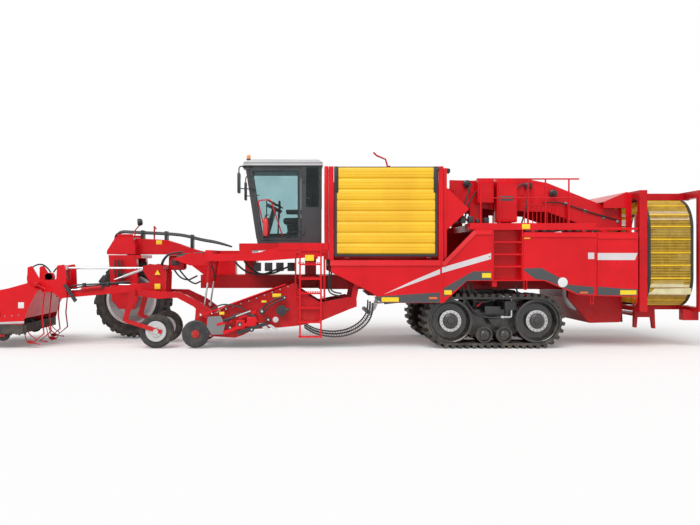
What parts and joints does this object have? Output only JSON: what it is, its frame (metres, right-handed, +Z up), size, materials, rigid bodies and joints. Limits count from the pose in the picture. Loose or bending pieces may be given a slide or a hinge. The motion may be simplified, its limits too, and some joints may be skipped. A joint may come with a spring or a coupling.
{
  "type": "self-propelled tracked potato harvester",
  "caption": "Self-propelled potato harvester on rubber tracks with a single steered front wheel, side cab, haulm topper, digging intake, yellow bunker and ring elevator.",
  "frame": {"origin": "floor level, centre of the machine's bounding box in plan", "axes": "+Z up, -X the front, -Y the machine's left side"},
  "size_m": [15.22, 3.3, 4.1622],
  "materials": {
    "red_paint": "glossy bright red paint",
    "yellow_sheet": "satin warm yellow",
    "yellow_web": "yellow coated bars",
    "dark_steel": "dark satin steel",
    "black_rubber": "matt black rubber",
    "pale_rim": "light grey wheel paint",
    "bright_steel": "bare steel",
    "cab_roof_grey": "light grey moulding",
    "cab_trim": "dark grey trim",
    "cab_glass": "tinted glass",
    "seat_cloth": "dark woven cloth",
    "engine_grey": "cast grey"
  },
  "bodies": {
    "chassis": {"belly_pan": "red_paint", "bunker_shell": "red_paint", "bunker_skirt_left": "red_paint", "cab_ladder": "red_paint", "cab_platform": "red_paint", "cab_roof": "cab_roof_grey", "cab_shell": "cab_trim", "cab_window_left": "cab_glass", "cab_window_rear": "cab_glass", "cab_window_right": "cab_glass", "discharge_hood": "red_paint", "driver_seat": "seat_cloth", "engine_block": "engine_grey", "gooseneck": "red_paint", "ladder_alcove": "red_paint", "main_frame": "red_paint", "platform_deck": "red_paint", "rear_axle_beam": "dark_steel", "ring_elevator_belt": "yellow_web", "ring_frame": "red_paint", "shoulder_panel_left": "red_paint", "side_panel_right": "red_paint", "steering_console": "cab_trim", "track_belt_left": "black_rubber", "track_belt_right": "black_rubber", "track_gear_left": "dark_steel", "track_gear_right": "dark_steel", "transfer_conveyor": "red_paint", "windscreen": "cab_glass"},
    "steering_fork": {"steering_fork": "red_paint"},
    "front_wheel": {"front_tyre": "black_rubber", "front_rim": "pale_rim"},
    "intake": {"intake_frame": "red_paint", "intake_web": "dark_steel", "digging_shares": "bright_steel"},
    "coulter_left": {"coulter_left": "dark_steel"},
    "coulter_right": {"coulter_right": "dark_steel"},
    "depth_wheel_left": {"depth_wheel_left": "black_rubber"},
    "depth_wheel_right": {"depth_wheel_right": "black_rubber"},
    "lift_barrels": {"lift_barrel_left": "red_paint", "lift_barrel_right": "red_paint"},
    "lift_rods": {"lift_rod_left": "bright_steel", "lift_rod_right": "bright_steel"},
    "topper_lift_arms": {"topper_lift_arms": "red_paint"},
    "topper_top_link": {"topper_top_link": "bright_steel"},
    "topper": {"topper_housing": "red_paint", "topper_curtain": "black_rubber"},
    "topper_rotor": {"topper_rotor": "dark_steel"},
    "topper_wheel_left": {"topper_wheel_left": "black_rubber"},
    "topper_wheel_right": {"topper_wheel_right": "black_rubber"},
    "cab_door": {"cab_door": "cab_trim", "cab_door_glass": "cab_glass"},
    "unloading_conveyor": {"unloading_conveyor": "dark_steel", "conveyor_slats": "yellow_sheet"},
    "bunker_filler": {"bunker_filler": "red_paint"},
    "side_door_left": {"side_door_left": "red_paint"},
    "side_door_right": {"side_door_right": "red_paint"},
    "rear_door_left": {"rear_door_left": "red_paint"},
    "rear_door_right": {"rear_door_right": "red_paint"}
  },
  "joints": [
    {"name": "steering", "type": "hinge", "parent": "chassis", "child": "steering_fork", "pos_m": [-4.6, 0.85, 1.925], "axis": [0, 0, 1], "range_deg": [-30, 30]},
    {"name": "front_wheel_spin", "type": "hinge", "parent": "steering_fork", "child": "front_wheel", "pos_m": [-4.6, 0.85, 0.905], "axis": [0, 1, 0], "continuous": true},
    {"name": "intake_lift", "type": "hinge", "parent": "chassis", "child": "intake", "pos_m": [0.36, -1.56, 0.93], "axis": [0, 1, 0], "range_deg": [0, 8]},
    {"name": "coulter_left_spin", "type": "hinge", "parent": "intake", "child": "coulter_left", "pos_m": [-2.853, -1.59, 0.3], "axis": [0, 1, 0], "continuous": true},
    {"name": "coulter_right_spin", "type": "hinge", "parent": "intake", "child": "coulter_right", "pos_m": [-2.853, 0.01, 0.3], "axis": [0, 1, 0], "continuous": true},
    {"name": "depth_wheel_left_spin", "type": "hinge", "parent": "intake", "child": "depth_wheel_left", "pos_m": [-3.664, -1.49, 0.354], "axis": [0, 1, 0], "continuous": true},
    {"name": "depth_wheel_right_spin", "type": "hinge", "parent": "intake", "child": "depth_wheel_right", "pos_m": [-3.664, -0.175, 0.354], "axis": [0, 1, 0], "continuous": true},
    {"name": "lift_barrel_swing", "type": "hinge", "parent": "chassis", "child": "lift_barrels", "pos_m": [-2.55, -1.4, 1.86], "axis": [0, 1, 0], "range_deg": [-0.1, 4.35]},
    {"name": "lift_rod_slide", "type": "slide", "parent": "lift_barrels", "child": "lift_rods", "axis": [-0.1447, 0, -0.9895], "range_m": [-0.425, 0.001]},
    {"name": "topper_lift", "type": "hinge", "parent": "intake", "child": "topper_lift_arms", "pos_m": [-3.95, -1.12, 1.25], "axis": [0, 1, 0], "range_deg": [0, 25]},
    {"name": "top_link_swing", "type": "hinge", "parent": "intake", "child": "topper_top_link", "pos_m": [-3.94, -0.75, 1.642], "axis": [0, 1, 0], "range_deg": [-0.1, 25.1]},
    {"name": "topper_level", "type": "hinge", "parent": "topper_lift_arms", "child": "topper", "pos_m": [-5.7, -1.12, 1.09], "axis": [0, 1, 0], "range_deg": [-25.1, 0.1]},
    {"name": "topper_rotor_spin", "type": "hinge", "parent": "topper", "child": "topper_rotor", "pos_m": [-6.95, 0, 0.72], "axis": [0, 1, 0], "continuous": true},
    {"name": "topper_wheel_left_spin", "type": "hinge", "parent": "topper", "child": "topper_wheel_left", "pos_m": [-6.83, -1.49, 0.3], "axis": [0, 1, 0], "continuous": true},
    {"name": "topper_wheel_right_spin", "type": "hinge", "parent": "topper", "child": "topper_wheel_right", "pos_m": [-6.83, 0.58, 0.3], "axis": [0, 1, 0], "continuous": true},
    {"name": "cab_door_hinge", "type": "hinge", "parent": "chassis", "child": "cab_door", "pos_m": [-0.645, -1.162, 2.225], "axis": [0, 0, 1], "range_deg": [0, 75]},
    {"name": "unloading_conveyor_fold", "type": "hinge", "parent": "chassis", "child": "unloading_conveyor", "pos_m": [0, -1.62, 1.865], "axis": [1, 0, 0], "range_deg": [0, 85]},
    {"name": "filler_tilt", "type": "hinge", "parent": "chassis", "child": "bunker_filler", "pos_m": [2.475, 0, 3.3], "axis": [0, 1, 0], "range_deg": [-18, 0]},
    {"name": "side_door_left_hinge", "type": "hinge", "parent": "chassis", "child": "side_door_left", "pos_m": [3.837, -1.635, 2.41], "axis": [-1, 0, 0], "range_deg": [0, 80]},
    {"name": "side_door_right_hinge", "type": "hinge", "parent": "chassis", "child": "side_door_right", "pos_m": [3.837, 1.635, 2.41], "axis": [1, 0, 0], "range_deg": [0, 80]},
    {"name": "rear_door_left_hinge", "type": "hinge", "parent": "chassis", "child": "rear_door_left", "pos_m": [5.347, -1.635, 2.41], "axis": [-1, 0, 0], "range_deg": [0, 80]},
    {"name": "rear_door_right_hinge", "type": "hinge", "parent": "chassis", "child": "rear_door_right", "pos_m": [5.347, 1.635, 2.41], "axis": [1, 0, 0], "range_deg": [0, 80]}
  ],
  "couplings": [
    {"joint": "lift_barrel_swing", "follows": "intake_lift", "ratio": 0.5312},
    {"joint": "lift_rod_slide", "follows": "intake_lift", "m_per_rad": -3.0295},
    {"joint": "top_link_swing", "follows": "topper_lift", "ratio": 1},
    {"joint": "topper_level", "follows": "topper_lift", "ratio": -1}
  ]
}
